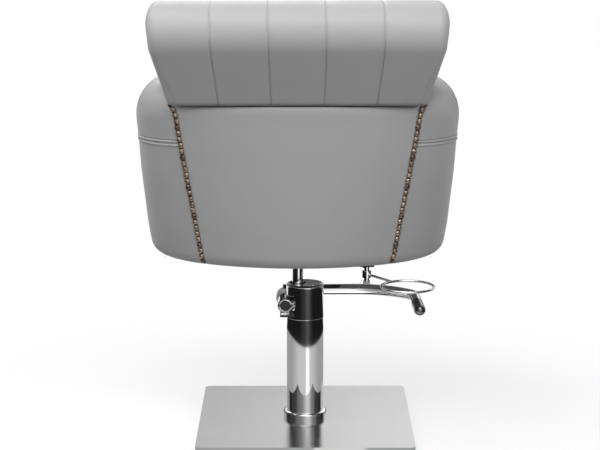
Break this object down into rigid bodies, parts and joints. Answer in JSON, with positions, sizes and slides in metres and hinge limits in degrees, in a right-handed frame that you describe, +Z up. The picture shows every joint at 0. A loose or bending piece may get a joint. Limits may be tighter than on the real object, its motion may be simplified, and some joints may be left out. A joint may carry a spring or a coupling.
{
  "type": "threading chair",
  "caption": "Padded tub chair with a channelled roll-over back, nail trim, hydraulic column, foot lever, dryer loop and square base.",
  "frame": {"origin": "on the floor, under the middle of the square base", "axes": "+Z up, +Y the way that the sitter faces, +X to the sitter's right hand; the ram and the seat's middle plane are at X = -15.5 mm"},
  "size_m": [0.6454, 0.6492, 0.9211],
  "materials": {
    "brushed_steel": "brushed stainless sheet, grain along X",
    "steel": "bare machined steel",
    "chrome": "polished chrome plate",
    "black_steel": "black painted steel",
    "bronze": "plain bearing bronze",
    "rubber": "black rubber",
    "pedal_cap": "bright metallised cap",
    "clear_knob": "pale translucent plastic",
    "leatherette": "grey grained leatherette over foam",
    "foam": "firm foam under grey leatherette",
    "wood": "bare plywood and beech",
    "webbing": "woven elastic webbing",
    "dust_cloth": "black non-woven dust cloth",
    "antique_brass": "antique bronze"
  },
  "bodies": {
    "base": {"base_plate": "steel", "base_cover": "brushed_steel", "floor_mat": "rubber", "pump_flange": "steel", "flange_bolts": "steel", "column_ring": "chrome", "column_tube": "chrome", "oil_reservoir": "steel", "ram_barrel": "steel", "plunger_barrel": "steel", "pump_head": "chrome", "ram_wiper": "rubber", "oil_filler_screw": "chrome", "lever_bushes": "bronze", "boss_cap": "chrome"},
    "ram_body": {"ram": "chrome", "piston": "steel", "piston_seal": "rubber"},
    "seat": {"swivel_hub": "black_steel", "thrust_washer": "steel", "mounting_plate": "black_steel", "mounting_bolts": "black_steel", "dust_cover": "dust_cloth", "seat_board": "wood", "seat_rails": "wood", "webbing_lengthwise": "webbing", "webbing_crosswise": "webbing", "front_apron": "leatherette", "seat_cushion": "leatherette", "outer_back_panel": "leatherette", "outer_side_panel_right": "leatherette", "outer_side_panel_left": "leatherette", "arm_pad_right": "leatherette", "arm_pad_left": "leatherette", "arm_facing_right": "leatherette", "arm_facing_left": "leatherette", "arm_frame_right": "wood", "arm_frame_left": "wood", "back_pad": "leatherette", "roll_core": "foam", "back_frame": "wood", "nail_strip_right": "antique_brass", "nail_strip_left": "antique_brass", "strip_nails_right": "antique_brass", "strip_nails_left": "antique_brass", "holder_plate": "black_steel", "holder_screws": "black_steel", "holder_post": "chrome", "holder_knob": "clear_knob"},
    "dryer_holder": {"holder_collar": "chrome", "holder_stem": "chrome", "holder_loop": "chrome"},
    "foot_lever": {"lever_shaft": "chrome", "lever_hub": "chrome", "lever_bar": "chrome", "pedal_cap": "pedal_cap", "pump_finger": "steel"},
    "plunger": {"pump_plunger": "steel", "plunger_spring": "steel"}
  },
  "joints": [
    {"name": "ram_lift", "type": "slide", "parent": "base", "child": "ram_body", "axis": [0, 0, 1], "range_m": [-0.031, 0.12]},
    {"name": "seat_swivel", "type": "hinge", "parent": "ram_body", "child": "seat", "pos_m": [-0.0155, 0, 0.376], "axis": [0, 0, 1], "continuous": true},
    {"name": "holder_swing", "type": "hinge", "parent": "seat", "child": "dryer_holder", "pos_m": [0.1235, -0.186, 0.364], "axis": [0, 0, 1], "continuous": true},
    {"name": "lever_pivot", "type": "hinge", "parent": "base", "child": "foot_lever", "pos_m": [-0.042, 0, 0.262], "axis": [0, 1, 0], "range_deg": [0, 16], "stiffness_Nm_per_rad": 3, "springref_deg": -51.57},
    {"name": "plunger_slide", "type": "slide", "parent": "base", "child": "plunger", "axis": [0, 0, 1], "range_m": [-0.0152, 0.0005], "deforming": ["plunger_spring"]}
  ],
  "couplings": [
    {"joint": "plunger_slide", "follows": "lever_pivot", "m_per_rad": -0.0525}
  ]
}
